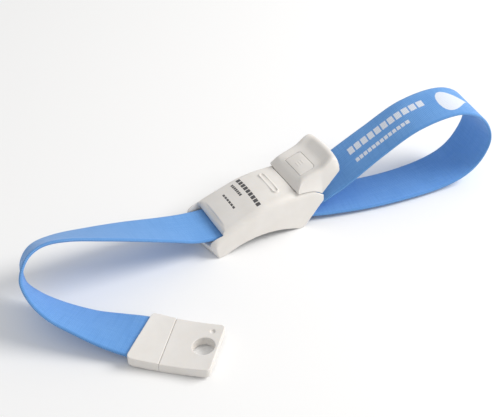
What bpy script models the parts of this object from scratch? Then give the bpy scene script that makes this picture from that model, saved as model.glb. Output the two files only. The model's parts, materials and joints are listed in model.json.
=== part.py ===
"""Quick-release tourniquet: a woven elastic band, a buckle with a tilting release lever, and a clip.

Lengths are written in millimetres and turned into metres by MM. X runs from the buckle's front
slot to its lever, Y across the buckle, Z up. The origin is on the buckle's front resting land.
"""

import math

import bmesh
import bpy
from mathutils import Matrix, Vector

MM = 0.001
GAP = 0.3  # clearance between pieces that touch
SLIVER = 0.005  # edges shorter than this are left over from a Boolean

# Band
BAND_WIDTH = 25.0
BAND_THICKNESS = 1.5
BAND_STEP = 2.5

# Buckle casing
FRONT_X = -4.0
LAND_END_X = 3.5
ARCH_END_X = 45.5
HEEL_X = 49.0
REAR_X = 60.6
REAR_Z = 12.2
ARCH_RISE = 4.4
BASE_HALF = 17.0
SIDE_DRAFT = 0.115  # how much each side leans in per millimetre of height
WALL = 1.1
ROOF = 1.6
NOTCH_BACK_X = 4.5
NOTCH_FLOOR_Z = 5.6
NOTCH_HALF = 13.1
SLOT_HALF = 13.0
SLOT_TOP_Z = 9.3
BASE_THICKNESS = 1.2
CROWN = 0.9  # how much the roof rises toward its middle
CORNER_END_X = 1.5
CORNER_DRAW = 4.0  # how far the front corners are drawn back
CHEEK_FLARE = 2.2
LIP_RADIUS = 3.1
LIP_BOTTOM_Z = 10.2
PILL = (37.0, 8.4, 1.65)  # centre in X, half length, half width
PILL_RIM = 0.6
PILL_TOP_Z = 21.85
ANCHOR_Z = (4.95, 5.55)

# Lever and latch
PIVOT = (31.0, 13.6)
SEAM_RADIUS = 16.1
SEAM = [(45.0, 20.0), (48.4, 19.9), (52.5, 19.2), (56.1, 18.0), (58.6, 16.5), (60.0, 15.3)]
SEAM_GAP = 0.25
WELL_HALF = 11.0
LATCH_PIVOT = (50.0, 16.3)
PIN_RADIUS = 1.4
LATCH_PIN_RADIUS = 1.2
STEM_PLACE = (55.4, 0.0)
STEM_RADIUS = 1.5
STEM_BOTTOM_Z = 18.0
BUTTON_PLAN = (51.0, 59.4, 7.4)  # front, rear, half width
BUTTON_TOP = (25.75, 28.25)  # height at the front and at the rear
BUTTON_CORNER = 1.7
BUTTON_SWELL = 0.35
BUTTON_DASHES = (53.7, 55.0, 56.3)
DASH_HEIGHT = 0.15
BUTTON_GAP = 0.15
BUTTON_SPRING_RADIUS = 2.3
BUTTON_SPRING_TURNS = 2.0
BUTTON_SPRING_Z = (21.4, 23.8)

# Clip
CLIP_LENGTH = 35.5
CLIP_THICKNESS = 5.0
CLIP_BOW = 1.2  # how much higher the ends stand than the middle
CLIP_STEP = 0.25  # the tongue lies this much lower than the cover
CLIP_CORNERS = [(17.9, -13.3), (18.2, 13.4), (-16.0, 13.6), (-18.9, -14.4)]
CLIP_CORNER = 2.0
CLIP_SPLIT_GAP = 0.1
DIMPLE_PLACE = (13.4, 9.0)
CLIP_CENTRE = (-42.3, -60.1)
CLIP_YAW = math.radians(-41.7)
CLIP_SPLIT_X = -4.5
LATCH_HOLE_X = 11.7
LATCH_HOLE_RADIUS = 5.0
CLIP_PIN_X = -6.8
CLIP_PIN_Y = 9.5

# Screws
BASE_SCREWS = {"front_near": (13.0, -13.9), "front_far": (13.0, 13.9),
               "rear_near": (36.5, -13.9), "rear_far": (36.5, 13.9)}
ANCHOR_SCREWS = {"near": (43.6, -13.75), "far": (43.6, 13.75)}
SCREW_RADIUS = 0.55
SCREW_HEAD_RADIUS = 0.95
BOSS_BOTTOM_Z = 6.4
BOSS_TOP_Z = 10.0

# The band's centre line and the direction from its far edge to its near edge, clip end first.
BAND_ROUTE = [
    ((-49.0, -54.1, 3.05), (-0.67, -0.75, 0.0)),
    ((-55.5, -48.3, 3.9), (-0.67, -0.75, 0.0)),
    ((-64.0, -40.3, 4.3), (-0.66, -0.73, 0.13)),
    ((-73.5, -31.0, 5.5), (-0.61, -0.72, 0.33)),
    ((-83.0, -21.5, 8.7), (-0.54, -0.70, 0.47)),
    ((-89.5, -13.3, 13.3), (-0.38, -0.70, 0.60)),
    ((-92.5, -6.5, 18.8), (-0.20, -0.68, 0.70)),
    ((-89.5, -0.8, 24.8), (-0.02, -0.71, 0.70)),
    ((-81.5, 3.3, 28.0), (0.08, -0.79, 0.61)),
    ((-70.0, 4.0, 27.2), (0.08, -0.85, 0.52)),
    ((-53.0, 3.2, 22.9), (0.06, -0.92, 0.39)),
    ((-36.0, 2.3, 17.9), (0.03, -0.97, 0.26)),
    ((-19.0, 1.2, 12.5), (-0.02, -0.99, 0.14)),
    ((-8.0, 0.6, 9.2), (-0.05, -1.00, 0.04)),
    ((3.0, 0.0, 7.8), (0.0, -1.0, 0.0)),
    ((14.0, 0.0, 7.8), (0.0, -1.0, 0.0)),
    ((24.0, 0.0, 7.8), (0.0, -1.0, 0.0)),
    ((33.0, 0.0, 7.75), (0.0, -1.0, 0.0)),
    ((41.0, 0.0, 6.9), (0.0, -1.0, 0.0)),
    ((48.0, 0.0, 6.3), (0.0, -1.0, 0.0)),
    ((54.0, 0.0, 6.4), (0.0, -1.0, 0.0)),
    ((60.0, -0.6, 8.0), (-0.03, -1.0, -0.03)),
    ((66.0, -1.6, 11.3), (-0.06, -0.99, -0.08)),
    ((76.0, -3.3, 17.8), (-0.09, -0.98, -0.14)),
    ((94.0, -7.2, 31.7), (-0.16, -0.98, -0.09)),
    ((112.0, -11.4, 44.2), (-0.16, -0.98, -0.07)),
    ((132.5, -15.0, 48.4), (-0.14, -0.99, -0.05)),
    ((147.0, -16.6, 42.0), (-0.10, -0.99, -0.04)),
    ((155.0, -16.8, 28.0), (-0.04, -1.0, -0.05)),
    ((152.0, -16.3, 15.0), (0.0, -1.0, -0.06)),
    ((143.0, -15.8, 6.5), (-0.02, -1.0, -0.06)),
    ((128.0, -14.9, 2.6), (-0.05, -1.0, -0.04)),
    ((108.0, -13.4, 1.8), (-0.10, -0.99, 0.0)),
    ((88.0, -10.4, 1.9), (-0.15, -0.98, 0.0)),
    ((68.0, -5.6, 2.3), (-0.17, -0.98, 0.0)),
    ((57.0, -2.2, 2.8), (-0.10, -0.99, 0.0)),
    ((49.0, 0.0, 3.2), (0.0, -1.0, 0.0)),
    ((41.5, 0.0, 3.9), (0.0, -1.0, 0.0)),
]

IVORY = ("ivory_plastic", (0.86, 0.84, 0.80), 0.38, 0.0)
GREY = ("inner_plastic", (0.62, 0.63, 0.64), 0.45, 0.0)
STEEL = ("bright_steel", (0.70, 0.71, 0.72), 0.28, 1.0)
BLUE = ("blue_elastic", (0.17, 0.40, 0.72), 0.85, 0.0)


# ---------------------------------------------------------------- scene helpers

def clear_scene():
    for item in list(bpy.data.objects):
        bpy.data.objects.remove(item, do_unlink=True)


def collection(name):
    group = bpy.data.collections.new(name)
    bpy.context.scene.collection.children.link(group)
    return group


def put(obj, group):
    """Moves an object into one collection only."""
    for other in list(obj.users_collection):
        other.objects.unlink(obj)
    group.objects.link(obj)
    return obj


def paint(obj, look):
    """Gives an object its own Principled material."""
    _, colour, roughness, metallic = look
    material = bpy.data.materials.new(obj.name)
    material.use_nodes = True
    shader = material.node_tree.nodes["Principled BSDF"]
    shader.inputs["Base Color"].default_value = (*colour, 1.0)
    shader.inputs["Roughness"].default_value = roughness
    shader.inputs["Metallic"].default_value = metallic
    obj.data.materials.clear()
    obj.data.materials.append(material)
    return obj


def smooth(obj, degrees=35):
    for face in obj.data.polygons:
        face.use_smooth = True
    obj.data.set_sharp_from_angle(angle=math.radians(degrees))
    return obj


def finish(obj, name, look):
    """Names a finished sub-part, paints it and files it with the parts."""
    obj.name = name
    obj.data.name = name
    put(obj, PARTS)
    return paint(obj, look)


def cutter(obj):
    """Files an object with the cutters, where it is only drawn as wire."""
    put(obj, CUTTERS)
    obj.hide_render = True
    obj.display_type = "WIRE"
    return obj


def boolean(obj, tool, operation):
    step = obj.modifiers.new(operation.lower(), "BOOLEAN")
    step.operation = operation
    step.solver = "EXACT"
    step.object = cutter(tool)
    return obj


def cut(obj, *tools):
    for tool in tools:
        boolean(obj, tool, "DIFFERENCE")
    return obj


def join(obj, *tools):
    for tool in tools:
        boolean(obj, tool, "UNION")
    return obj


def clear_slivers(obj):
    """Bakes an object's Booleans into its mesh and clears the slivers they leave."""
    bpy.context.view_layer.update()
    graph = bpy.context.evaluated_depsgraph_get()
    mesh = bpy.data.meshes.new_from_object(obj.evaluated_get(graph))
    shell = bmesh.new()
    shell.from_mesh(mesh)
    bmesh.ops.triangulate(shell, faces=shell.faces)
    bmesh.ops.dissolve_degenerate(shell, dist=SLIVER * MM, edges=shell.edges)
    bmesh.ops.triangulate(shell, faces=shell.faces)
    shell.to_mesh(mesh)
    shell.free()
    obj.modifiers.clear()
    obj.data = mesh
    return obj


# ---------------------------------------------------------------- shapes

def box(name, xs, ys, zs):
    """A box between two values on each axis."""
    bpy.ops.mesh.primitive_cube_add(size=1.0)
    obj = bpy.context.active_object
    obj.name = name
    spans = (xs, ys, zs)
    size = Vector([(high - low) * MM for low, high in spans])
    middle = Vector([(high + low) / 2 * MM for low, high in spans])
    for vertex in obj.data.vertices:
        vertex.co = Vector([a * b for a, b in zip(vertex.co, size)]) + middle
    return obj


def cross_bar(name, place, radius, half, sides=32):
    """A round bar along Y, with its object origin on its own axis."""
    bpy.ops.mesh.primitive_cylinder_add(vertices=sides, radius=radius * MM, depth=2 * half * MM,
                                        location=(place[0] * MM, 0.0, place[1] * MM),
                                        rotation=(math.pi / 2, 0.0, 0.0))
    obj = bpy.context.active_object
    obj.name = name
    return smooth(obj)


def post(name, place, radius, zs, sides=24):
    """A round post along Z."""
    bpy.ops.mesh.primitive_cylinder_add(vertices=sides, radius=radius * MM,
                                        depth=(zs[1] - zs[0]) * MM,
                                        location=(place[0] * MM, place[1] * MM,
                                                  (zs[0] + zs[1]) / 2 * MM))
    obj = bpy.context.active_object
    obj.name = name
    return smooth(obj)


def mesh_from_curve(curve_obj, name):
    """Turns a curve object into a welded mesh where the curve stood and removes the curve."""
    bpy.context.view_layer.update()
    depsgraph = bpy.context.evaluated_depsgraph_get()
    mesh = bpy.data.meshes.new_from_object(curve_obj.evaluated_get(depsgraph))
    shell = bmesh.new()
    shell.from_mesh(mesh)
    bmesh.ops.remove_doubles(shell, verts=shell.verts, dist=0.00001)
    shell.to_mesh(mesh)
    shell.free()
    mesh.transform(curve_obj.matrix_world)
    obj = bpy.data.objects.new(name, mesh)
    bpy.context.scene.collection.objects.link(obj)
    bpy.data.objects.remove(curve_obj, do_unlink=True)
    return obj


def hang_on(obj, axis_place):
    """Moves an object's origin onto its joint axis without moving its shape."""
    origin = Vector((axis_place[0] * MM, 0.0, axis_place[1] * MM))
    obj.data.transform(Matrix.Translation(-origin))
    obj.location = origin
    return obj


def flat_curve(name, outline, thickness):
    """A closed flat outline, filled and given a thickness, lying in the XY plane."""
    curve = bpy.data.curves.new(name, "CURVE")
    curve.dimensions = "2D"
    curve.fill_mode = "BOTH"
    curve.extrude = thickness / 2 * MM
    line = curve.splines.new("POLY")
    line.points.add(len(outline) - 1)
    for point, (a, b) in zip(line.points, outline):
        point.co = (a * MM, b * MM, 0.0, 1.0)
    line.use_cyclic_u = True
    obj = bpy.data.objects.new(name, curve)
    bpy.context.scene.collection.objects.link(obj)
    return obj


def side_plate(name, outline, y_low, y_high):
    """A flat outline given in X and Z, as thick as the span between two Y values."""
    obj = flat_curve(name, outline, y_high - y_low)
    obj.rotation_euler = (math.pi / 2, 0.0, 0.0)
    obj.location = (0.0, (y_high + y_low) / 2 * MM, 0.0)
    return mesh_from_curve(obj, name)


def prism(name, outline, zs):
    """A flat outline given in X and Y, standing between two heights."""
    obj = flat_curve(name, outline, zs[1] - zs[0])
    obj.location = (0.0, 0.0, (zs[0] + zs[1]) / 2 * MM)
    return mesh_from_curve(obj, name)


def arc(centre, radius, start, end, steps):
    """Points on an arc between two angles in degrees."""
    turns = [math.radians(start + (end - start) * i / steps) for i in range(steps + 1)]
    return [(centre[0] + radius * math.cos(t), centre[1] + radius * math.sin(t)) for t in turns]


def coil(name, place, mean_radius, wire_radius, ys, turns, legs):
    """A torsion spring round a cross bar, with a straight leg at each end.

    legs holds, for each end, the angle at which the leg leaves the coil and its length.
    """
    per_turn = 14
    count = int(turns * per_turn)
    start, end = legs
    points = []
    for i in range(count + 1):
        angle = start[0] + (2 * math.pi * turns + (end[0] - start[0])) * i / count
        y = ys[0] + (ys[1] - ys[0]) * i / count
        points.append(Vector((place[0] + mean_radius * math.cos(angle), y,
                              place[1] + mean_radius * math.sin(angle))))
    for leg, index, sense in ((start, 0, -1), (end, -1, 1)):
        along = Vector((-math.sin(leg[0]), 0.0, math.cos(leg[0]))) * sense
        tip = points[index] + along * leg[1]
        points.insert(0 if index == 0 else len(points), tip)
    return wire(name, points, wire_radius)


def wire(name, points, wire_radius):
    """A round wire through a list of points."""
    curve = bpy.data.curves.new(name, "CURVE")
    curve.dimensions = "3D"
    curve.bevel_depth = wire_radius * MM
    curve.bevel_resolution = 2
    curve.use_fill_caps = True
    line = curve.splines.new("POLY")
    line.points.add(len(points) - 1)
    for point, place_mm in zip(line.points, points):
        point.co = (*(place_mm * MM), 1.0)
    obj = bpy.data.objects.new(name, curve)
    bpy.context.scene.collection.objects.link(obj)
    return smooth(mesh_from_curve(obj, name))


def loft(name, rings):
    """A closed solid through rings of matching points, capped at both ends."""
    shell = bmesh.new()
    loops = [[shell.verts.new(Vector(point) * MM) for point in ring] for ring in rings]
    for first, second in zip(loops, loops[1:]):
        for i in range(len(first)):
            j = (i + 1) % len(first)
            shell.faces.new((first[i], first[j], second[j], second[i]))
    shell.faces.new(list(reversed(loops[0])))
    shell.faces.new(loops[-1])
    bmesh.ops.recalc_face_normals(shell, faces=shell.faces)
    mesh = bpy.data.meshes.new(name)
    shell.to_mesh(mesh)
    shell.free()
    obj = bpy.data.objects.new(name, mesh)
    bpy.context.scene.collection.objects.link(obj)
    return smooth(obj)


def along(table, x):
    """Reads a smooth curve at x through a short list of (x, value) pairs."""
    if x <= table[0][0]:
        return table[0][1]
    if x >= table[-1][0]:
        return table[-1][1]
    i = max(k for k in range(len(table) - 1) if table[k][0] <= x)
    (x0, v0), (x1, v1) = table[i], table[i + 1]
    before = table[max(i - 1, 0)]
    after = table[min(i + 2, len(table) - 1)]
    step = x1 - x0
    slope0 = (v1 - before[1]) / (x1 - before[0]) * step
    slope1 = (after[1] - v0) / (after[0] - x0) * step
    t = (x - x0) / step
    return (v0 * (2 * t ** 3 - 3 * t ** 2 + 1) + slope0 * (t ** 3 - 2 * t ** 2 + t)
            + v1 * (3 * t ** 2 - 2 * t ** 3) + slope1 * (t ** 3 - t ** 2))


def stations(first, last, spacing):
    """Even steps from first to last, about spacing apart."""
    count = max(1, round((last - first) / spacing))
    return [first + (last - first) * i / count for i in range(count + 1)]


def mirrored(half_ring):
    """Closes a half section, given from the middle of the floor to the middle of the top."""
    other = [(x, -y, z) for x, y, z in reversed(half_ring[1:-1])]
    return half_ring + other


# ---------------------------------------------------------------- buckle casing

CASING_TOP = [(-4.0, 5.4), (-3.6, 7.2), (-2.8, 8.8), (-0.7, 10.8), (5.0, 13.3), (15.3, 17.1),
              (25.7, 20.4), (31.0, 21.2), (36.0, 21.6), (46.0, 21.3), (61.5, 21.3)]


def arch_height(x):
    """Height of the buckle's underside, flat at both lands and arched between them."""
    middle = (LAND_END_X + ARCH_END_X) / 2
    half = (ARCH_END_X - LAND_END_X) / 2
    if abs(x - middle) >= half:
        return 0.0
    radius = (half ** 2 + ARCH_RISE ** 2) / (2 * ARCH_RISE)
    return math.sqrt(radius ** 2 - (x - middle) ** 2) - (radius - ARCH_RISE)


def side_half(z):
    """Half width of the casing at a height."""
    return BASE_HALF - SIDE_DRAFT * z


def casing_ring(x, floor, top, inset, shoulder, crown):
    """One cross section of the casing: drafted sides, a round shoulder and a crowned top."""
    start = top - crown - shoulder
    ring = [(x, 0.0, floor), (x, side_half(floor) - inset, floor)]
    ring.append((x, side_half((floor + start) / 2) - inset, (floor + start) / 2))
    steps = 6
    for i in range(steps + 1):
        turn = math.pi / 2 * i / steps
        y = side_half(start) - inset - shoulder * 1.25 * (1 - math.cos(turn))
        ring.append((x, y, start + shoulder * math.sin(turn)))
    shoulder_y = ring[-1][1]
    ring.append((x, shoulder_y * 0.66, top - crown * 0.44))
    ring.append((x, shoulder_y * 0.33, top - crown * 0.11))
    ring.append((x, 0.0, top))
    return mirrored(ring)


def round_corner(ring, x):
    """Draws the outer ends of the front sections back, which rounds the casing's front corners."""
    reach = max(0.0, CORNER_END_X - x) / (CORNER_END_X - FRONT_X)
    return [(a + CORNER_DRAW * reach ** 2 * (abs(b) / BASE_HALF) ** 6, b, c) for a, b, c in ring]


def casing_body():
    rings = []
    marks = stations(FRONT_X, CORNER_END_X, 0.5) + stations(CORNER_END_X, REAR_X + 0.5, 1.5)[1:]
    for x in marks:
        top = along(CASING_TOP, x)
        shoulder = min(3.6, 0.34 * top)
        rings.append(round_corner(casing_ring(x, arch_height(x), top, 0.0, shoulder, CROWN), x))
    return loft("casing_body", rings)


def casing_hollow():
    """The room inside the casing, open below and behind."""
    rings = []
    for x in stations(NOTCH_BACK_X + 1.9, REAR_X + 2.0, 3.0):
        rings.append(casing_ring(x, -2.0, along(CASING_TOP, x) - ROOF, WALL, 2.0, CROWN))
    return loft("casing_hollow", rings)


def pill(name, inset, zs):
    """A slab with flat sides and round ends, long across the buckle."""
    x, half_length, half_width = PILL
    straight = half_length - half_width
    radius = half_width - inset
    outline = arc((x, straight), radius, 0, 180, 12) + arc((x, -straight), radius, 180, 360, 12)
    return prism(name, outline, zs)


def roof_rim():
    """The raised pill-shaped rim on the roof."""
    rim = pill("pill_rim", 0.0, (20.4, PILL_TOP_Z))
    return cut(rim, pill("pill_inside", PILL_RIM, (19.0, PILL_TOP_Z + 1.0)))


def hinge_arc(radius, z_high, z_low, steps=8):
    """Points on the arc that the lever's front face sweeps about its hinge."""
    points = []
    for i in range(steps + 1):
        z = z_high + (z_low - z_high) * i / steps
        points.append((PIVOT[0] + math.sqrt(radius ** 2 - (z - PIVOT[1]) ** 2), z))
    return points


def seam_outline():
    """Outline of everything behind the roof edge and above the side seam."""
    return hinge_arc(SEAM_RADIUS, 27.0, SEAM[0][1]) + SEAM[1:] + [(80.0, SEAM[-1][1]), (80.0, 27.0)]


def notch_outline():
    """The notch in front of the band slot, with the lip above the slot rolled over."""
    outline = [(FRONT_X - 4.0, NOTCH_FLOOR_Z), (NOTCH_BACK_X, NOTCH_FLOOR_Z)]
    for degrees in (180, 165, 150, 135, 120, 110):
        turn = math.radians(degrees)
        outline.append((NOTCH_BACK_X + LIP_RADIUS * (1 + math.cos(turn)),
                        LIP_BOTTOM_Z + LIP_RADIUS * math.sin(turn)))
    return outline + [(outline[-1][0], 20.0), (FRONT_X - 4.0, 20.0)]


def cheek_flare():
    """Opens the notch's sides outward above the band, which leaves soft sloping cheeks."""
    low, high = NOTCH_FLOOR_Z + 2.0, 14.0
    wide = NOTCH_HALF + CHEEK_FLARE
    section = [(0.0, low), (NOTCH_HALF - 0.2, low), (wide, high), (0.0, high)]
    rings = [mirrored([(x, y, z) for y, z in section]) for x in (FRONT_X - 4.0, NOTCH_BACK_X - 0.4)]
    return loft("cheek_flare", rings)


def rear_slope_cutter():
    """Cuts the casing's rear to the slope from the heel up to the rear corner."""
    lift = (REAR_X - HEEL_X) / REAR_Z
    outline = [(HEEL_X - 2.0 * lift, -2.0), (REAR_X, REAR_Z), (REAR_X, 30.0), (75.0, 30.0),
               (75.0, -2.0)]
    return side_plate("rear_slope_cutter", outline, -25.0, 25.0)


def housing_shell():
    shell = casing_body()
    cut(shell, casing_hollow(), rear_slope_cutter())
    cut(shell, side_plate("lever_opening", seam_outline(), -25.0, 25.0))
    well = hinge_arc(SEAM_RADIUS, 25.0, 14.5) + [(57.0, 14.5), (57.0, 25.0)]
    cut(shell, side_plate("lever_well", well, -WELL_HALF, WELL_HALF))
    cut(shell, side_plate("notch", notch_outline(), -NOTCH_HALF, NOTCH_HALF))
    cut(shell, cheek_flare())
    cut(shell, box("slot", (NOTCH_BACK_X - 1, NOTCH_BACK_X + 3), (-SLOT_HALF, SLOT_HALF),
                   (NOTCH_FLOOR_Z + 0.1, SLOT_TOP_Z)))
    join(shell, roof_rim())
    for name, (x, y) in BASE_SCREWS.items():
        across = sorted((math.copysign(12.85, y), math.copysign(15.5, y)))
        join(shell, box(f"boss_{name}", (x - 1.5, x + 1.5), across, (BOSS_BOTTOM_Z, BOSS_TOP_Z)))
        cut(shell, post(f"boss_hole_{name}", (x, y), SCREW_RADIUS + 0.12, (5.0, 9.6)))
    cut(shell, cross_bar("lever_pin_seat", PIVOT, PIN_RADIUS + GAP / 2, 15.0))
    cut(shell, cross_bar("latch_pin_seat", LATCH_PIVOT, LATCH_PIN_RADIUS + GAP / 2, 14.55))
    return finish(clear_slivers(smooth(shell)), "housing_shell", IVORY)


def base_plate():
    """The arched floor that closes the casing."""
    front = NOTCH_BACK_X + 1.9 + GAP
    rear = HEEL_X - 1.0
    half = 14.7
    steps = 16
    lower = [(front + (rear - front) * i / steps) for i in range(steps + 1)]
    outline = [(x, arch_height(x)) for x in lower]
    outline += [(x, arch_height(x) + BASE_THICKNESS) for x in reversed(lower)]
    plate = side_plate("base_plate", outline, -half, half)
    for name, (x, y) in BASE_SCREWS.items():
        across = sorted((math.copysign(12.5, y), math.copysign(half - 0.05, y)))
        floor = arch_height(x)
        join(plate, box(f"pad_{name}", (x - 1.7, x + 1.7), across, (floor + 0.5, 6.1)))
        cut(plate, post(f"sink_{name}", (x, y), SCREW_HEAD_RADIUS + 0.15, (-1.0, floor + 1.3)))
        cut(plate, post(f"through_{name}", (x, y), SCREW_RADIUS + 0.15, (-1.0, 8.0)))
    for name, (x, y) in ANCHOR_SCREWS.items():
        join(plate, post(f"stand_{name}", (x, y), 0.95, (1.0, ANCHOR_Z[0] - 0.25)))
        cut(plate, post(f"stand_hole_{name}", (x, y), SCREW_RADIUS + 0.12, (2.0, 8.0)))
    join(plate, box("clamp_rib", (42.8, 45.6), (-12.3, 12.3), (1.0, 2.5)))
    return finish(plate, "base_plate", GREY)


def pan_screw(name, place, head_z, tip_z):
    """A pan-head screw along Z; the head is below its tip on the base, above it on the anchor."""
    way = math.copysign(1.0, tip_z - head_z)
    profile = [(0.0, head_z), (SCREW_HEAD_RADIUS, head_z + 0.15 * way),
               (SCREW_HEAD_RADIUS, head_z + 0.5 * way), (SCREW_RADIUS, head_z + 0.5 * way),
               (SCREW_RADIUS, tip_z - 0.4 * way), (0.0, tip_z)]
    if way < 0:
        profile.reverse()
    return finish(turned(name, place, profile), name, STEEL)


def turned(name, place, profile, sides=24):
    """A profile of (radius, height) points turned about Z with a Screw modifier."""
    mesh = bpy.data.meshes.new(name)
    lathe = bmesh.new()
    previous = None
    for radius, height in profile:
        vertex = lathe.verts.new((radius * MM, 0.0, height * MM))
        if previous is not None:
            lathe.edges.new((previous, vertex))
        previous = vertex
    lathe.to_mesh(mesh)
    lathe.free()
    obj = bpy.data.objects.new(name, mesh)
    obj.location = (place[0] * MM, place[1] * MM, 0.0)
    bpy.context.scene.collection.objects.link(obj)
    turn = obj.modifiers.new("turn", "SCREW")
    turn.axis = "Z"
    turn.steps = sides
    turn.render_steps = sides
    turn.use_merge_vertices = True
    turn.merge_threshold = 0.00001
    turn.use_normal_flip = True
    return obj


def guide_bar():
    """The steel bar that the band slides over just inside the slot."""
    return finish(cross_bar("guide_bar", (9.0, 5.5), 1.3, 13.6), "guide_bar", STEEL)


def anvil_plate():
    """The ridged plate under the band that the cam nips against."""
    outline = [(27.5, 5.9), (27.5, 6.5)]
    ridge = 1.25
    for i in range(6):
        x = 28.0 + i * ridge
        outline += [(x, 6.4), (x + ridge / 2, 6.75)]
    outline += [(36.0, 6.5), (36.0, 5.9)]
    return finish(side_plate("anvil_plate", outline, -12.4, 12.4), "anvil_plate", STEEL)


def channel_plate():
    """The steel floor of the socket that the clip slides into, over the band."""
    plate = box("channel_plate", (39.5, 54.0), (-14.2, 14.2), (8.0, 8.7))
    return finish(plate, "channel_plate", STEEL)


def anchor_plate():
    """The bar that clamps the fixed end of the pull loop to the base."""
    plate = box("anchor_plate", (41.8, 46.6), (-14.95, 14.95), ANCHOR_Z)
    for name, place in ANCHOR_SCREWS.items():
        cut(plate, post(f"anchor_hole_{name}", place, SCREW_RADIUS + 0.15, (0.0, 8.0)))
    return finish(plate, "anchor_plate", STEEL)


# ---------------------------------------------------------------- lever, button, latch

LEVER_CREST = [(45.6, 20.6), (46.4, 22.0), (47.4, 24.0), (48.6, 25.6), (51.5, 26.9), (54.8, 27.9),
               (58.0, 28.9), (60.6, 30.1), (62.8, 31.8), (64.9, 33.2), (66.4, 33.7), (67.8, 33.5),
               (68.8, 32.8), (69.5, 31.7), (69.9, 30.4)]
DISH_DEPTH = [(45.6, 0.0), (46.4, 0.3), (47.4, 1.1), (48.6, 1.5), (51.5, 1.0), (58.0, 1.0),
              (60.6, 1.3), (62.8, 2.0), (64.9, 1.5), (66.4, 0.6), (67.8, 0.1), (69.9, 0.0)]
REAR_BULGE = [(58.0, 0.0), (62.8, 0.7), (66.4, 1.4), (69.9, 1.7)]
OVERHANG_SLOPE = 1.1
LEVER_HALF = 14.8
CREST_HALF = 12.6
CREST_RADIUS = 1.5


def lever_floor(x):
    """Height of the lever's lower edge: the side seam, then the overhang behind."""
    return along(SEAM, x) + SEAM_GAP + max(0.0, x - SEAM[-1][0]) * OVERHANG_SLOPE


def lever_ring(x, floor, top, dish, inset):
    """One cross section of the lever: leaning sides, round rails and a thumb dish between."""
    low = LEVER_HALF - inset
    high = CREST_HALF - inset
    height = top - floor
    if height < 6.0:
        high += (low - high) * (1 - height / 6.0)
    rim = min(CREST_RADIUS, height * 0.45)
    ring = [(x, 0.0, floor), (x, low - 0.6, floor), (x, low - 0.15, floor + min(0.3, rim * 0.2))]
    ring.append((x, low + (high - low) * 0.5, floor + (height - rim) * 0.5))
    for i in range(5):
        turn = math.pi / 2 * i / 4
        ring.append((x, high - rim * (1 - math.cos(turn)), top - rim * (1 - math.sin(turn))))
    start = high - rim
    for share, depth in ((0.93, 0.12), (0.84, 0.45), (0.74, 0.8), (0.62, 0.95), (0.35, 1.0)):
        ring.append((x, start * share, top - dish * depth))
    ring.append((x, 0.0, top - dish))
    bulge = along(REAR_BULGE, x)
    full = mirrored(ring)
    return [(a + bulge * (1 - (b / CREST_HALF) ** 2), b, c) for a, b, c in full]


def lever_hump():
    rings = []
    for x in stations(46.0, 66.0, 1.0) + stations(66.0, 69.9, 0.4)[1:]:
        rings.append(lever_ring(x, lever_floor(x), along(LEVER_CREST, x),
                                along(DISH_DEPTH, x), 0.0))
    x = 70.2
    rings.append(lever_ring(x, lever_floor(x) + 0.6, 29.2, 0.0, 0.3))
    return loft("lever_hump", rings)


def lever_hollow():
    """The room inside the lever for the button and latch, open below."""
    rings = []
    for x in (48.6, 50.5, 53.0, 56.0, 59.3, 61.2):
        top = along(LEVER_CREST, x) - 2.0 - 0.5 * (x < 50)
        floor = 10.0 if x < 60 else lever_floor(x) + 2.4
        rings.append(lever_ring(x, floor, top, along(DISH_DEPTH, x), 1.7))
    return loft("lever_hollow", rings)


def lever_front_wall():
    """The wall under the dish's front edge that ties the hump to its two arms."""
    outline = hinge_arc(SEAM_RADIUS + SEAM_GAP, 21.0, 15.0) + [(48.3, 15.0), (48.3, 21.0)]
    return side_plate("lever_front_wall", outline, -10.6, 10.6)


def lever_arm(y_low, y_high):
    """One of the two arms that carry the hump from the hinge."""
    outline = [(31.0, 10.6), (34.2, 11.6), (38.5, 14.8), (48.2, 15.0), (48.2, 16.6),
               (40.0, 16.4), (34.0, 16.5), (31.0, 16.7)]
    return side_plate("lever_arm", outline, y_low, y_high)


def release_lever():
    lever = lever_hump()
    join(lever, lever_front_wall())
    cut(lever, lever_hollow())
    for side in (-1, 1):
        low, high = sorted((6.0 * side, 10.0 * side))
        join(lever, lever_arm(low, high))
        hub = cross_bar("hub", PIVOT, 3.5, 3.5)
        hub.location.y = side * 8.1 * MM
        join(lever, hub)
    cut(lever, cross_bar("pin_hole", PIVOT, PIN_RADIUS + GAP / 2, 20.0))
    join(lever, box("button_shelf", (52.4, 58.4), (-13.6, 13.6), (20.3, 21.05)))
    cut(lever, post("stem_hole", STEM_PLACE, STEM_RADIUS + GAP, (10.0, 30.0)))
    cut(lever, box("latch_window", (44.0, 48.9), (-6.0, 6.0), (12.0, 20.1)))
    cut(lever, button_prism("button_hole", BUTTON_GAP, (21.3, 40.0)))
    cut(lever, side_plate("roof_clearance", roof_clearance_outline(), -25.0, 25.0))
    return finish(clear_slivers(smooth(hang_on(lever, PIVOT))), "release_lever", IVORY)


def roof_clearance_outline():
    """Everything of the lever in front of its front face and above its arms."""
    return hinge_arc(SEAM_RADIUS + SEAM_GAP, 24.0, 17.2) + [(40.0, 17.2), (40.0, 24.0)]


def cam_jaw():
    """The toothed jaw under the hinge that nips the band."""
    outline = [(29.6, 9.6)]
    teeth = 4
    for i in range(teeth):
        x = 30.6 + i * 1.3
        outline += [(x, 9.35), (x + 0.65, 8.8)]
    outline += [(35.8, 9.5), (35.8, 10.5), (35.2, 11.6)]
    radius = 3.5 + GAP
    for angle in (-35, -50, -65, -80, -95, -105):
        turn = math.radians(angle)
        outline.append((PIVOT[0] + radius * math.cos(turn), PIVOT[1] + radius * math.sin(turn)))
    jaw = side_plate("cam_jaw", outline, -11.5, 11.5)
    return finish(hang_on(jaw, PIVOT), "cam_jaw", STEEL)


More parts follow.
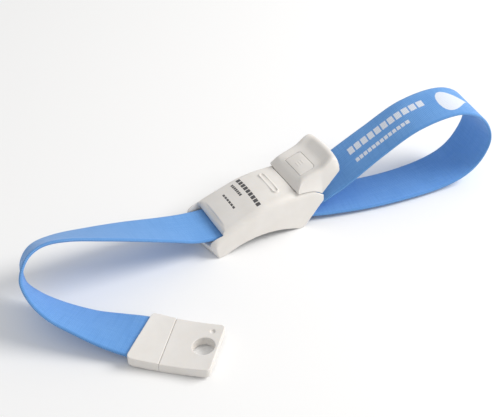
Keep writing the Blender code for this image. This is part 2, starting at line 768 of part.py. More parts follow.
def button_prism(name, grow, zs):
    """The button's outline seen from above, with round rear corners, as an upright prism."""
    front, rear, half = BUTTON_PLAN
    radius = BUTTON_CORNER + grow
    corner_x = rear - BUTTON_CORNER
    corner_y = half - BUTTON_CORNER
    outline = [(front - grow, -half - grow)]
    outline += arc((corner_x, -corner_y), radius, -90, 0, 6)
    outline += arc((corner_x, corner_y), radius, 0, 90, 6)
    return prism(name, outline + [(front - grow, half + grow)], zs)


def button_height(x, y):
    """Height of the button's top, which slopes with the dish and swells a little in the middle."""
    front, rear, half = BUTTON_PLAN
    reach = min(1.0, abs(2 * x - front - rear) / (rear - front))
    side = min(1.0, abs(y) / half)
    slope = (BUTTON_TOP[1] - BUTTON_TOP[0]) * (x - front) / (rear - front)
    return BUTTON_TOP[0] + slope + BUTTON_SWELL * (1 - reach ** 4) * (1 - side ** 4)


def button_top():
    """Everything above the button's top."""
    front, rear, half = BUTTON_PLAN
    rings = []
    for x in stations(front - 1.0, rear + 1.0, 0.85):
        ys = [half * (-1.2 + 2.4 * i / 12) for i in range(13)]
        ring = [(x, y, button_height(x, y)) for y in ys]
        rings.append(ring + [(x, ys[-1], 45.0), (x, ys[0], 45.0)])
    return loft("button_top", rings)


def release_button():
    """The push button set in the thumb dish, with its stem reaching down to the latch."""
    cap = button_prism("button_cap", 0.0, (24.2, 32.0))
    cut(cap, button_top())
    for x in BUTTON_DASHES:
        top = button_height(x, 0.0) + DASH_HEIGHT
        join(cap, box("dash", (x - 0.25, x + 0.25), (-1.5, 1.5), (25.0, top)))
    join(cap, post("button_stem", STEM_PLACE, STEM_RADIUS, (STEM_BOTTOM_Z, 26.0)))
    return finish(clear_slivers(smooth(cap)), "release_button", IVORY)


def button_spring():
    """The coil spring round the button's stem."""
    points = []
    per_turn = 14
    count = int(BUTTON_SPRING_TURNS * per_turn)
    low, high = BUTTON_SPRING_Z
    for i in range(count + 1):
        angle = 2 * math.pi * i / per_turn
        points.append(Vector((STEM_PLACE[0] + BUTTON_SPRING_RADIUS * math.cos(angle),
                              STEM_PLACE[1] + BUTTON_SPRING_RADIUS * math.sin(angle),
                              low + (high - low) * i / count)))
    return finish(wire("button_spring", points, 0.2), "button_spring", STEEL)


def latch_hook():
    """The rocker whose nose catches the clip and whose tail the button presses."""
    x, z = LATCH_PIVOT
    outline = [(38.9, 11.5), (41.4, 11.9), (41.6, 14.8), (47.0, 14.9), (48.6, 14.4),
               (x, 14.2), (51.6, 14.7), (53.0, 15.7), (57.4, 16.4), (57.4, 17.6),
               (56.0, 17.7), (53.2, 16.9), (51.6, 17.9), (x, 18.4), (48.4, 17.9), (46.5, 17.0),
               (39.3, 16.2), (38.9, 15.6)]
    hook = side_plate("latch_hook", outline, -3.0, 3.0)
    cut(hook, cross_bar("latch_bore", (x, z), LATCH_PIN_RADIUS + GAP / 2, 10.0))
    return finish(hang_on(hook, LATCH_PIVOT), "latch_hook", GREY)


# ---------------------------------------------------------------- band and clip

def smooth_point(values, index, t):
    """A point on the Catmull-Rom curve between values[index] and the next one."""
    last = len(values) - 1
    a = values[max(index - 1, 0)]
    b = values[index]
    c = values[min(index + 1, last)]
    d = values[min(index + 2, last)]
    return 0.5 * (2 * b + (c - a) * t + (2 * a - 5 * b + 4 * c - d) * t ** 2
                  + (3 * b - a - 3 * c + d) * t ** 3)


def band_stations():
    """Centre, edge direction and face normal at even steps along the band."""
    centres = [Vector(place) for place, _ in BAND_ROUTE]
    across = [Vector(edge) for _, edge in BAND_ROUTE]
    points = []
    edges = []
    for i in range(len(centres) - 1):
        steps = max(2, round((centres[i + 1] - centres[i]).length / BAND_STEP))
        for k in range(steps):
            points.append(smooth_point(centres, i, k / steps))
            edges.append(smooth_point(across, i, k / steps))
    points.append(centres[-1])
    edges.append(across[-1])
    stations = []
    for i, (point, edge) in enumerate(zip(points, edges)):
        before = points[max(i - 1, 0)]
        after = points[min(i + 1, len(points) - 1)]
        along = (after - before).normalized()
        edge = (edge - along * edge.dot(along)).normalized()
        stations.append((point, edge, along.cross(edge)))
    return stations


def elastic_band():
    """One woven strip from the clip, through the buckle, round the pull loop and back."""
    half = BAND_WIDTH / 2
    thick = BAND_THICKNESS / 2
    rings = []
    for point, edge, normal in band_stations():
        rings.append([point + edge * a * half + normal * b * thick
                      for a, b in ((-1, -1), (0, -1), (1, -1), (1, 1), (0, 1), (-1, 1))])
    return finish(loft("elastic_band", rings), "elastic_band", BLUE)


def bowed_plate(name, xs, zs, half_width):
    """A plate bowed lengthwise like the clip, so both its ends stand higher than its middle."""
    steps = stations(xs[0], xs[1], 1.8)
    bow = [(x, CLIP_BOW * (2 * x / CLIP_LENGTH) ** 2) for x in steps]
    low = [(x, zs[0] + lift) for x, lift in bow]
    high = [(x, zs[1] + lift) for x, lift in bow]
    return side_plate(name, low + high[::-1], -half_width, half_width)


def clip_plan(obj):
    """Trims a clip half to the clip's plan, which has round corners and a slanted band end."""
    outline = []
    for (x, y), start in zip(CLIP_CORNERS, (-90, 0, 90, 180)):
        centre = (x - math.copysign(CLIP_CORNER, x), y - math.copysign(CLIP_CORNER, y))
        outline += arc(centre, CLIP_CORNER, start, start + 90, 5)
    return boolean(obj, prism("clip_plan", outline, (-2.0, 12.0)), "INTERSECT")


def clip_body():
    """The tongue with its latch hole, and the tray that the band's end lies in."""
    edge = CLIP_SPLIT_X + CLIP_SPLIT_GAP / 2
    body = bowed_plate("clip_body", (edge, 20.0), (0.0, CLIP_THICKNESS - CLIP_STEP), 16.0)
    join(body, bowed_plate("tray", (-20.0, edge + 1.0), (0.15, 1.7), 12.5))
    clip_plan(body)
    cut(body, post("latch_hole", (LATCH_HOLE_X, 0.0), LATCH_HOLE_RADIUS, (-1.0, 9.0), 40))
    cut(body, post("dimple", DIMPLE_PLACE, 1.15, (4.7, 9.0)))
    for side in (-1, 1):
        cut(body, post("pin_hole", (CLIP_PIN_X, CLIP_PIN_Y * side), 1.15, (0.6, 3.0)))
    return clear_slivers(smooth(body))


def clip_cover():
    """The half that closes over the band's end and wraps down round the tray."""
    edge = CLIP_SPLIT_X - CLIP_SPLIT_GAP / 2
    cover = bowed_plate("clip_cover", (-20.0, edge), (0.0, CLIP_THICKNESS), 16.0)
    clip_plan(cover)
    cut(cover, bowed_plate("band_room", (-22.0, -8.6), (-1.0, 3.8), 12.8))
    cut(cover, bowed_plate("tray_room", (-9.5, edge + 2.0), (-1.0, 1.95), 12.8))
    for side in (-1, 1):
        cut(cover, post("pin_hole", (CLIP_PIN_X, CLIP_PIN_Y * side), 1.15, (0.5, 4.2)))
    return clear_slivers(smooth(cover))


def clip_pieces():
    """Makes the clip about the origin, then stands it where it lies by way of an empty."""
    frame = bpy.data.objects.new("clip_frame", None)
    PARTS.objects.link(frame)
    frame.location = (CLIP_CENTRE[0] * MM, CLIP_CENTRE[1] * MM, 0.0)
    frame.rotation_euler = (0.0, 0.0, CLIP_YAW)
    pieces = [finish(clip_body(), "clip_body", IVORY), finish(clip_cover(), "clip_cover", IVORY)]
    for side, name in ((-1, "near"), (1, "far")):
        pin = post(f"clip_pin_{name}", (CLIP_PIN_X, CLIP_PIN_Y * side), 1.0, (0.9, 3.9))
        pieces.append(finish(pin, f"clip_pin_{name}", STEEL))
    for piece in pieces:
        piece.parent = frame


# ---------------------------------------------------------------- build

clear_scene()
PARTS = collection("tourniquet")
CUTTERS = collection("cutters")

housing_shell()
base_plate()
for screw_name, screw_place in BASE_SCREWS.items():
    pan_screw(f"base_screw_{screw_name}", screw_place, arch_height(screw_place[0]) + 0.3, 9.2)
guide_bar()
anvil_plate()
channel_plate()
anchor_plate()
for screw_name, screw_place in ANCHOR_SCREWS.items():
    pan_screw(f"anchor_screw_{screw_name}", screw_place, ANCHOR_Z[1] + 0.75, 2.3)
release_lever()
cam_jaw()
finish(cross_bar("lever_pin", PIVOT, PIN_RADIUS, 14.7), "lever_pin", STEEL)
finish(coil("lever_spring", PIVOT, 2.2, 0.35, (-3.6, 3.6), 6.5,
            ((math.radians(200), 1.5), (math.radians(290), 1.5))), "lever_spring", STEEL)
release_button()
button_spring()
latch_hook()
finish(cross_bar("latch_pin", LATCH_PIVOT, LATCH_PIN_RADIUS, 14.2), "latch_pin", STEEL)
finish(coil("latch_spring", LATCH_PIVOT, 1.75, 0.17, (4.5, 5.5), 2.0,
            ((math.radians(200), 1.2), (math.radians(290), 1.2))), "latch_spring", STEEL)
elastic_band()
clip_pieces()
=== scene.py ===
"""Visual model of the quick-release tourniquet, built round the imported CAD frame.

Lengths are in metres; MM turns millimetres into metres. X runs from the buckle's front slot to its
lever, Y across the buckle, Z up, as in the CAD.
"""

import json
import math

import bmesh
import bpy
from mathutils import Matrix, Vector


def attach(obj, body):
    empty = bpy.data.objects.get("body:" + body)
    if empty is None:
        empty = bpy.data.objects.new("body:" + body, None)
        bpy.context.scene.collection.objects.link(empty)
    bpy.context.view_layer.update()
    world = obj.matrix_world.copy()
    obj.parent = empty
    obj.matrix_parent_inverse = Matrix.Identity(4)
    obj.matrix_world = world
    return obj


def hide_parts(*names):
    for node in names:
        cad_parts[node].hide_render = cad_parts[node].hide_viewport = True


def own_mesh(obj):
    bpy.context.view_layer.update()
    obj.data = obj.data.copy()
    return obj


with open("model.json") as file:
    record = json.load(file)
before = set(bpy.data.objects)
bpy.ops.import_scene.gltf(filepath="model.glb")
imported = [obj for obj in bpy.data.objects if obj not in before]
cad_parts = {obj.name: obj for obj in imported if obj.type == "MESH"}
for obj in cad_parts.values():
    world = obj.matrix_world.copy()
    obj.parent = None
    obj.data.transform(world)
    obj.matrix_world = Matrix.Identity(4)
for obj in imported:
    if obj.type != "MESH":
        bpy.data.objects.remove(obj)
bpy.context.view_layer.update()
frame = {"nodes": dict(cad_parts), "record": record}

MM = 0.001
NODES = frame["nodes"]

# Camera, as the photograph was taken
CAMERA_PLACE = Vector((-140.15, -305.25, 303.83)) * MM
CAMERA_LOOK = Vector((0.3652, 0.6692, -0.6471))
CAMERA_LENS = 64.8
SENSOR_WIDTH = 36.0

# Floor, surround and light
FLOOR_SIZE = 8.0
FLOOR_DROP = 0.0002  # keeps the floor just clear of the pieces that lie on it
FLOOR_TONE = (0.93, 0.93, 0.93, 1.0)
SURROUND_TONE = (1.0, 1.0, 1.0, 1.0)
SURROUND_STRENGTH = 0.61
KEY_PLACE = Vector((0.90, -0.36, 0.78))
KEY_TARGET = Vector((0.03, -0.02, 0.0))
KEY_SIZE = 0.7
KEY_POWER = 11.5
KEY_TONE = (1.0, 0.985, 0.965)

# Band
BAND_WIDTH = 25.0
BAND_THICKNESS = 1.5
BAND_STEP = 0.8
BAND_CELLS = 26
EDGE_ROUND = 0.7  # width of the rounded selvedge
WEFT_PITCH = 0.7  # distance between weft ribs along the band
WARP_PITCH = 0.9  # distance between warp ends across the band

# Printed marks, rows of blocks: (start, row, half height, pitch, number of blocks)
BAND_BARS = ((260.6, -3.4, 2.2, 4.2, 11), (261.5, 4.0, 1.2, 2.6, 13))
HOUSING_BARS = ((-11.2, 25.4, 1.15, 2.6, 9), (0.2, 21.4, 0.7, 1.5, 7), (-4.7, 15.1, 0.55, 2.1, 6))
BAND_DROP = (321.5, 9.0, 0.4, 8.0)  # centre, half length, row, half width

ROOF_HEIGHT = 14.0  # the housing is printed only above this height
INKED_SHARE = 0.8  # how much of its pitch each block fills

# Plastic and steel
IVORY_TONE = (0.79, 0.762, 0.728)
IVORY_WARM = (0.76, 0.73, 0.69)
GREY_TONE = (0.55, 0.56, 0.57)
GREY_WARM = (0.50, 0.51, 0.52)
BLACK_INK = (0.035, 0.035, 0.04)
STEEL_DULL = (0.58, 0.59, 0.60)
STEEL_BRIGHT = (0.76, 0.77, 0.78)

# Webbing
BLUE = (0.135, 0.345, 0.745)
BLUE_LIGHT = (0.165, 0.385, 0.785)
BLUE_STREAK = (0.22, 0.46, 0.84)
BLUE_PICK = (0.10, 0.29, 0.66)
# painted shade: a darker blue laid into the grooves between the weft ribs
BLUE_GROOVE_SHADE = (0.08, 0.25, 0.60)
BLUE_SELVEDGE = (0.10, 0.28, 0.62)
BLUE_BEAD = (0.30, 0.55, 0.90)
SHEEN_TONE = (0.72, 0.84, 1.0, 1.0)
WHITE_INK = (0.86, 0.88, 0.93)

# Fillets of the mouldings: the cell of the fine mesh, and how often it is relaxed
SOFTEN_VOXEL = 0.22
SOFTEN_ROUNDS = {"housing_shell": 8, "release_lever": 6, "release_button": 4, "clip_body": 5,
                 "clip_cover": 5}

# The band's centre line and the direction from its far edge to its near edge, as in the CAD
BAND_ROUTE = [
    ((-49.0, -54.1, 3.05), (-0.67, -0.75, 0.0)),
    ((-55.5, -48.3, 3.9), (-0.67, -0.75, 0.0)),
    ((-64.0, -40.3, 4.3), (-0.66, -0.73, 0.13)),
    ((-73.5, -31.0, 5.5), (-0.61, -0.72, 0.33)),
    ((-83.0, -21.5, 8.7), (-0.54, -0.70, 0.47)),
    ((-89.5, -13.3, 13.3), (-0.38, -0.70, 0.60)),
    ((-92.5, -6.5, 18.8), (-0.20, -0.68, 0.70)),
    ((-89.5, -0.8, 24.8), (-0.02, -0.71, 0.70)),
    ((-81.5, 3.3, 28.0), (0.08, -0.79, 0.61)),
    ((-70.0, 4.0, 27.2), (0.08, -0.85, 0.52)),
    ((-53.0, 3.2, 22.9), (0.06, -0.92, 0.39)),
    ((-36.0, 2.3, 17.9), (0.03, -0.97, 0.26)),
    ((-19.0, 1.2, 12.5), (-0.02, -0.99, 0.14)),
    ((-8.0, 0.6, 9.2), (-0.05, -1.00, 0.04)),
    ((3.0, 0.0, 7.8), (0.0, -1.0, 0.0)),
    ((14.0, 0.0, 7.8), (0.0, -1.0, 0.0)),
    ((24.0, 0.0, 7.8), (0.0, -1.0, 0.0)),
    ((33.0, 0.0, 7.75), (0.0, -1.0, 0.0)),
    ((41.0, 0.0, 6.9), (0.0, -1.0, 0.0)),
    ((48.0, 0.0, 6.3), (0.0, -1.0, 0.0)),
    ((54.0, 0.0, 6.4), (0.0, -1.0, 0.0)),
    ((60.0, -0.6, 8.0), (-0.03, -1.0, -0.03)),
    ((66.0, -1.6, 11.3), (-0.06, -0.99, -0.08)),
    ((76.0, -3.3, 17.8), (-0.09, -0.98, -0.14)),
    ((94.0, -7.2, 31.7), (-0.16, -0.98, -0.09)),
    ((112.0, -11.4, 44.2), (-0.16, -0.98, -0.07)),
    ((132.5, -15.0, 48.4), (-0.14, -0.99, -0.05)),
    ((147.0, -16.6, 42.0), (-0.10, -0.99, -0.04)),
    ((155.0, -16.8, 28.0), (-0.04, -1.0, -0.05)),
    ((152.0, -16.3, 15.0), (0.0, -1.0, -0.06)),
    ((143.0, -15.8, 6.5), (-0.02, -1.0, -0.06)),
    ((128.0, -14.9, 2.6), (-0.05, -1.0, -0.04)),
    ((108.0, -13.4, 1.8), (-0.10, -0.99, 0.0)),
    ((88.0, -10.4, 1.9), (-0.15, -0.98, 0.0)),
    ((68.0, -5.6, 2.3), (-0.17, -0.98, 0.0)),
    ((57.0, -2.2, 2.8), (-0.10, -0.99, 0.0)),
    ((49.0, 0.0, 3.2), (0.0, -1.0, 0.0)),
    ((41.5, 0.0, 3.9), (0.0, -1.0, 0.0)),
]


# ---------------------------------------------------------------- camera, light and floor

def look_matrix(place, look):
    """A camera's matrix at a place, looking along a direction, with no roll."""
    back = -look.normalized()
    right = Vector((0.0, 0.0, 1.0)).cross(back).normalized()
    up = back.cross(right)
    turn = Matrix((right, up, back)).transposed()
    return Matrix.Translation(place) @ turn.to_4x4()


def camera():
    data = bpy.data.cameras.new("photo_camera")
    data.lens = CAMERA_LENS
    data.sensor_width = SENSOR_WIDTH
    data.clip_start = 0.01
    obj = bpy.data.objects.new("photo_camera", data)
    bpy.context.scene.collection.objects.link(obj)
    obj.matrix_world = look_matrix(CAMERA_PLACE, CAMERA_LOOK)
    bpy.context.scene.camera = obj


def key_light():
    """One large soft lamp, high on the loop's side."""
    data = bpy.data.lights.new("key_light", "AREA")
    data.shape = "DISK"
    data.size = KEY_SIZE
    data.energy = KEY_POWER
    data.color = KEY_TONE
    obj = bpy.data.objects.new("key_light", data)
    bpy.context.scene.collection.objects.link(obj)
    obj.matrix_world = look_matrix(KEY_PLACE, KEY_TARGET - KEY_PLACE)


def studio():
    """A pale floor that runs out to the horizon, a pale surround and the key light."""
    bpy.ops.mesh.primitive_plane_add(size=FLOOR_SIZE, location=(0.0, 0.0, -FLOOR_DROP))
    floor = bpy.context.active_object
    floor.name = "studio_floor"
    material = bpy.data.materials.new("studio_floor")
    material.use_nodes = True
    shader = material.node_tree.nodes["Principled BSDF"]
    shader.inputs["Base Color"].default_value = FLOOR_TONE
    shader.inputs["Roughness"].default_value = 0.9
    shader.inputs["Specular IOR Level"].default_value = 0.1
    floor.data.materials.append(material)
    world = bpy.data.worlds.new("studio_world")
    world.use_nodes = True
    back = world.node_tree.nodes["Background"]
    back.inputs["Color"].default_value = SURROUND_TONE
    back.inputs["Strength"].default_value = SURROUND_STRENGTH
    bpy.context.scene.world = world
    key_light()
    bpy.context.scene.view_settings.view_transform = "Standard"


# ---------------------------------------------------------------- materials

class Nodes:
    """Builds a material's node tree in few words."""

    def __init__(self, name):
        self.material = bpy.data.materials.new(name)
        self.material.use_nodes = True
        self.tree = self.material.node_tree
        self.shader = self.tree.nodes["Principled BSDF"]

    def add(self, kind, **settings):
        node = self.tree.nodes.new(kind)
        for key, value in settings.items():
            setattr(node, key, value)
        return node

    def link(self, out, into):
        self.tree.links.new(out, into)

    def math(self, operation, first, second=None, third=None):
        node = self.add("ShaderNodeMath", operation=operation)
        for socket, value in zip(node.inputs, (first, second, third)):
            if value is None:
                continue
            if isinstance(value, (int, float)):
                socket.default_value = value
            else:
                self.link(value, socket)
        return node.outputs[0]

    def noise(self, vector, scale, detail=3.0, roughness=0.55):
        node = self.add("ShaderNodeTexNoise")
        node.inputs["Scale"].default_value = scale
        node.inputs["Detail"].default_value = detail
        node.inputs["Roughness"].default_value = roughness
        self.link(vector, node.inputs["Vector"])
        return node.outputs["Fac"]

    def stretched(self, vector, stretch, scale, detail):
        """Noise drawn out into lines, by reading it at a stretched place."""
        mapping = self.add("ShaderNodeMapping")
        mapping.inputs["Scale"].default_value = stretch
        self.link(vector, mapping.inputs["Vector"])
        return self.noise(mapping.outputs["Vector"], scale, detail)

    def blend(self, share, low, high):
        """Mixes two colours, or two colour sockets, by a 0 to 1 share."""
        node = self.add("ShaderNodeMix", data_type="RGBA")
        self.link(share, node.inputs["Factor"])
        for socket, value in ((node.inputs["A"], low), (node.inputs["B"], high)):
            if isinstance(value, tuple):
                socket.default_value = (*value, 1.0)
            else:
                self.link(value, socket)
        return node.outputs["Result"]

    def span(self, value, low, high, out_low=0.0, out_high=1.0):
        """Maps low to high onto out_low to out_high, clamped."""
        node = self.add("ShaderNodeMapRange")
        node.inputs["From Min"].default_value = low
        node.inputs["From Max"].default_value = high
        node.inputs["To Min"].default_value = out_low
        node.inputs["To Max"].default_value = out_high
        self.link(value, node.inputs["Value"])
        return node.outputs["Result"]

    def row(self, along, across, bar):
        """A row of plain printed blocks, as a 0 or 1 mask."""
        start, place, half_height, pitch = (value * MM for value in bar[:4])
        half_count = bar[4] / 2
        step = self.math("DIVIDE", self.math("SUBTRACT", along, start), pitch)
        inside = self.math("COMPARE", step, half_count, half_count)
        high = self.math("COMPARE", across, place, half_height)
        inked = self.math("LESS_THAN", self.math("FRACT", step), INKED_SHARE)
        return self.math("MULTIPLY", self.math("MULTIPLY", inside, high), inked)

    def rows(self, along, across, bars):
        """Several rows of blocks together, as one mask."""
        masks = [self.row(along, across, bar) for bar in bars]
        together = masks[0]
        for mask in masks[1:]:
            together = self.math("MAXIMUM", together, mask)
        return together

    def drop(self, along, across, shape):
        """A plain drop, round at one end and pointed at the other, as a 0 or 1 mask."""
        centre, half_length, row, half_width = (value * MM for value in shape)
        share = self.math("DIVIDE", self.math("SUBTRACT", along, centre), half_length)
        share = self.math("MINIMUM", self.math("MAXIMUM", share, -1.0), 1.0)
        round_part = self.math("SQRT", self.math("SUBTRACT", 1.0, self.math("POWER", share, 2.0)))
        width = self.math("MULTIPLY", round_part, self.math("SUBTRACT", 1.0, share))
        width = self.math("MULTIPLY", width, half_width / 1.3)
        offset = self.math("ABSOLUTE", self.math("SUBTRACT", across, row))
        return self.math("LESS_THAN", offset, width)

    def bump(self, height, strength, distance, normal=None):
        node = self.add("ShaderNodeBump")
        node.inputs["Strength"].default_value = strength
        node.inputs["Distance"].default_value = distance
        self.link(height, node.inputs["Height"])
        if normal is not None:
            self.link(normal, node.inputs["Normal"])
        return node.outputs["Normal"]


def plastic(name, colour, warm, roughness, bars=()):
    """Satin moulded plastic: cloudy tone, fine grain, faint scuffs, and any dark printed bars."""
    n = Nodes(name)
    edges = n.add("ShaderNodeNewGeometry").outputs["Pointiness"]
    position = n.add("ShaderNodeTexCoord").outputs["Object"]
    cloud = n.noise(position, 90.0, 2.0)
    grain = n.noise(position, 5200.0, 2.0)
    flow = n.noise(position, 420.0, 4.0)
    tone = n.blend(n.span(cloud, 0.35, 0.65), colour, warm)
    worn = n.span(edges, 0.52, 0.60, 0.0, 0.35)
    lighter = tuple(min(1.0, c * 1.06) for c in colour)
    tone = n.blend(worn, tone, lighter)
    if bars:
        axes = n.add("ShaderNodeSeparateXYZ")
        n.link(position, axes.inputs["Vector"])
        roof = n.math("GREATER_THAN", axes.outputs["Z"], ROOF_HEIGHT * MM)
        ink = n.rows(axes.outputs["Y"], axes.outputs["X"], bars)
        faded = n.math("MULTIPLY", n.math("MULTIPLY", ink, roof), n.span(grain, 0.2, 0.5, 0.75, 0.95))
        tone = n.blend(faded, tone, BLACK_INK)
    n.link(tone, n.shader.inputs["Base Color"])
    rough = n.math("MULTIPLY_ADD", flow, 0.12, roughness - 0.06)
    n.link(n.math("ADD", rough, n.math("MULTIPLY", worn, 0.1)), n.shader.inputs["Roughness"])
    n.shader.inputs["Specular IOR Level"].default_value = 0.38
    n.shader.inputs["Subsurface Weight"].default_value = 0.12
    n.shader.inputs["Subsurface Radius"].default_value = (0.003, 0.0025, 0.002)
    n.shader.inputs["Subsurface Scale"].default_value = 0.5
    wave = n.bump(flow, 0.05, 0.0002)
    n.link(n.bump(grain, 0.12, 0.00003, wave), n.shader.inputs["Normal"])
    return n.material


def steel(name):
    """Bright drawn steel with fine drawing lines along Y and a few dull patches."""
    n = Nodes(name)
    position = n.add("ShaderNodeNewGeometry").outputs["Position"]
    lines = n.stretched(position, (1.0, 0.04, 1.0), 6000.0, 4.0)
    patch = n.noise(position, 300.0, 3.0)
    n.link(n.blend(patch, STEEL_DULL, STEEL_BRIGHT), n.shader.inputs["Base Color"])
    n.shader.inputs["Metallic"].default_value = 1.0
    n.link(n.span(patch, 0.3, 0.7, 0.24, 0.42), n.shader.inputs["Roughness"])
    n.link(n.bump(lines, 0.25, 0.00002), n.shader.inputs["Normal"])
    return n.material


def woven_band(name):
    """Woven elastic: ribs across with painted groove shade, warp ends along, denser selvedges, white
    print.
    """
    n = Nodes(name)
    uv = n.add("ShaderNodeUVMap", uv_map="band")
    axes = n.add("ShaderNodeSeparateXYZ")
    n.link(uv.outputs["UV"], axes.inputs["Vector"])
    along = axes.outputs["X"]
    across = axes.outputs["Y"]
    position = n.add("ShaderNodeNewGeometry").outputs["Position"]
    fuzz = n.noise(position, 2600.0, 3.0, 0.7)
    wander = n.math("MULTIPLY", n.math("SUBTRACT", n.noise(position, 500.0, 2.0), 0.5), 0.4 * MM)
    weft_place = n.math("ADD", along, wander)
    weft = n.math("SINE", n.math("MULTIPLY", weft_place, 2 * math.pi / (WEFT_PITCH * MM)))
    warp = n.math("SINE", n.math("MULTIPLY", across, 2 * math.pi / (WARP_PITCH * MM)))
    ribs = n.math("MULTIPLY_ADD", n.math("MULTIPLY", weft, warp), 0.6, weft)
    streak = n.stretched(uv.outputs["UV"], (60.0, 1800.0, 1.0), 1.0, 2.0)
    pick = n.stretched(uv.outputs["UV"], (1400.0, 60.0, 1.0), 1.0, 2.0)
    cloud = n.noise(position, 60.0, 3.0)
    base = n.blend(n.span(cloud, 0.3, 0.7), BLUE, BLUE_LIGHT)
    base = n.blend(n.span(streak, 0.4, 0.75, 0.0, 0.5), base, BLUE_STREAK)
    base = n.blend(n.span(pick, 0.45, 0.75, 0.0, 0.45), base, BLUE_PICK)
    # Painted shade: the grooves between the weft ribs are darkened in the colour itself.
    base = n.blend(n.span(ribs, -1.4, 0.2, 0.4, 0.0), base, BLUE_GROOVE_SHADE)
    from_middle = n.math("ABSOLUTE", across)
    selvedge = n.span(from_middle, 11.2 * MM, 11.6 * MM, 0.0, 0.55)
    base = n.blend(selvedge, base, BLUE_SELVEDGE)
    bead = n.math("MULTIPLY", n.span(weft, 0.0, 0.8), n.span(from_middle, 12.0 * MM, 12.3 * MM))
    base = n.blend(n.math("MULTIPLY", bead, 0.5), base, BLUE_BEAD)
    printed = n.add("ShaderNodeAttribute", attribute_name="printed_face").outputs["Fac"]
    soak = n.math("MULTIPLY", n.math("SUBTRACT", fuzz, 0.5), 0.7 * MM)
    inked_along = n.math("ADD", along, soak)
    inked_across = n.math("ADD", across, soak)
    drop = n.drop(inked_along, inked_across, BAND_DROP)
    ink = n.math("MAXIMUM", drop, n.rows(inked_along, inked_across, BAND_BARS))
    ink = n.math("MULTIPLY", n.math("MULTIPLY", ink, printed), n.span(ribs, -1.4, 0.0, 0.5, 0.95))
    base = n.blend(ink, base, WHITE_INK)
    n.link(base, n.shader.inputs["Base Color"])
    n.link(n.span(fuzz, 0.3, 0.7, 0.72, 0.92), n.shader.inputs["Roughness"])
    n.shader.inputs["Specular IOR Level"].default_value = 0.25
    n.shader.inputs["Sheen Weight"].default_value = 0.35
    n.shader.inputs["Sheen Roughness"].default_value = 0.45
    n.shader.inputs["Sheen Tint"].default_value = SHEEN_TONE
    weave = n.bump(ribs, 0.5, 0.00010)
    n.link(n.bump(fuzz, 0.25, 0.00006, weave), n.shader.inputs["Normal"])
    return n.material


# ---------------------------------------------------------------- band

def smooth_point(values, index, t):
    """A point on the Catmull-Rom curve between values[index] and the next one."""
    last = len(values) - 1
    a = values[max(index - 1, 0)]
    b = values[index]
    c = values[min(index + 1, last)]
    d = values[min(index + 2, last)]
    return 0.5 * (2 * b + (c - a) * t + (2 * a - 5 * b + 4 * c - d) * t ** 2
                  + (3 * b - a - 3 * c + d) * t ** 3)


def band_stations():
    """Centre, edge direction, face normal and distance at even steps along the band."""
    centres = [Vector(place) for place, _ in BAND_ROUTE]
    edges = [Vector(edge) for _, edge in BAND_ROUTE]
    points = []
    across = []
    for i in range(len(centres) - 1):
        steps = max(2, round((centres[i + 1] - centres[i]).length / BAND_STEP))
        for k in range(steps):
            points.append(smooth_point(centres, i, k / steps))
            across.append(smooth_point(edges, i, k / steps))
    points.append(centres[-1])
    across.append(edges[-1])
    stations = []
    run = 0.0
    for i, (point, edge) in enumerate(zip(points, across)):
        before = points[max(i - 1, 0)]
        after = points[min(i + 1, len(points) - 1)]
        if i:
            run += (point - points[i - 1]).length
        along = (after - before).normalized()
        edge = (edge - along * edge.dot(along)).normalized()
        stations.append((point, edge, along.cross(edge), run))
    return stations


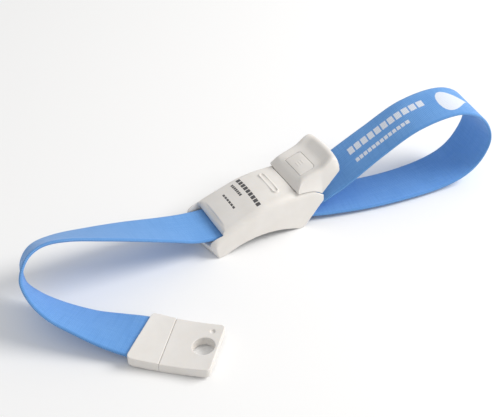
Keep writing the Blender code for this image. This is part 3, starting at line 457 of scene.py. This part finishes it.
def elastic_band():
    """The webbing, with rounded selvedges, its print on the face that looks up at the loop."""
    half = BAND_WIDTH / 2
    thick = BAND_THICKNESS / 2
    top = []
    for i in range(BAND_CELLS + 1):
        y = -half + BAND_WIDTH * i / BAND_CELLS
        inward = min((half - abs(y)) / EDGE_ROUND, 1.0)
        top.append((y, thick * math.sqrt(1 - (1 - inward) ** 2)))
    bottom = [(y, -z) for y, z in reversed(top[1:-1])]
    section = top + bottom
    stations = band_stations()
    shell = bmesh.new()
    uv = shell.loops.layers.uv.new("band")
    loops = []
    for point, edge, normal, _ in stations:
        loops.append([shell.verts.new((point + edge * y + normal * z) * MM) for y, z in section])
    count = len(section)
    for s, (first, second) in enumerate(zip(loops, loops[1:])):
        for i in range(count):
            j = (i + 1) % count
            face = shell.faces.new((first[i], first[j], second[j], second[i]))
            ends = ((stations[s][3], i), (stations[s][3], j), (stations[s + 1][3], j),
                    (stations[s + 1][3], i))
            for corner, (run, k) in zip(face.loops, ends):
                corner[uv].uv = (run * MM, section[k][0] * MM)
    shell.faces.new(list(reversed(loops[0])))
    shell.faces.new(loops[-1])
    bmesh.ops.recalc_face_normals(shell, faces=shell.faces)
    mesh = bpy.data.meshes.new("band_webbing")
    shell.to_mesh(mesh)
    shell.free()
    obj = bpy.data.objects.new("band_webbing", mesh)
    bpy.context.scene.collection.objects.link(obj)
    for face in mesh.polygons:
        face.use_smooth = True
    printed = mesh.attributes.new("printed_face", "FLOAT", "POINT")
    for i, value in enumerate(printed.data):
        value.value = 1.0 if section[i % count][1] < 0 else 0.0
    mesh.materials.append(woven_band("band_webbing"))
    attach(obj, "base")
    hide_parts("elastic_band")
    return obj


# ---------------------------------------------------------------- plastic and steel pieces

IVORY = plastic("ivory_plastic", IVORY_TONE, IVORY_WARM, 0.42)
PRINTED_IVORY = plastic("printed_ivory", IVORY_TONE, IVORY_WARM, 0.42, HOUSING_BARS)
GREY = plastic("inner_plastic", GREY_TONE, GREY_WARM, 0.50)
STEEL = steel("bright_steel")


def soften(obj, rounds):
    """Gives a moulded CAD node the small soft fillets of real mouldings."""
    remesh = obj.modifiers.new("remesh", "REMESH")
    remesh.mode = "VOXEL"
    remesh.voxel_size = SOFTEN_VOXEL * MM
    remesh.use_smooth_shade = True
    relax = obj.modifiers.new("relax", "SMOOTH")
    relax.factor = 0.5
    relax.iterations = rounds


def repaint():
    """Every CAD piece takes the look named for its material slot, and the housing its print.

    The CAD band takes the grey look, which never shows because the webbing replaces it.
    """
    looks = {"ivory_plastic": IVORY, "inner_plastic": GREY, "bright_steel": STEEL,
             "blue_elastic": GREY}
    slots = {entry["node"]: entry["material_slot"] for entry in frame["record"]["subparts"]}
    for name, obj in NODES.items():
        obj.data.materials.clear()
        obj.data.materials.append(PRINTED_IVORY if name == "housing_shell" else looks[slots[name]])


def button_spring():
    """A copy of the CAD spring's coil, carried by the lever, standing in for the rigid CAD spring."""
    node = NODES["button_spring"]
    coil = bpy.data.objects.new("button_coil", node.data.copy())
    bpy.context.scene.collection.objects.link(coil)
    coil.matrix_world = node.matrix_world.copy()
    bpy.context.view_layer.update()
    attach(coil, "lever")
    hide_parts("button_spring")
    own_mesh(coil)


camera()
studio()
repaint()
button_spring()
elastic_band()
for moulding, rounds in SOFTEN_ROUNDS.items():
    soften(NODES[moulding], rounds)
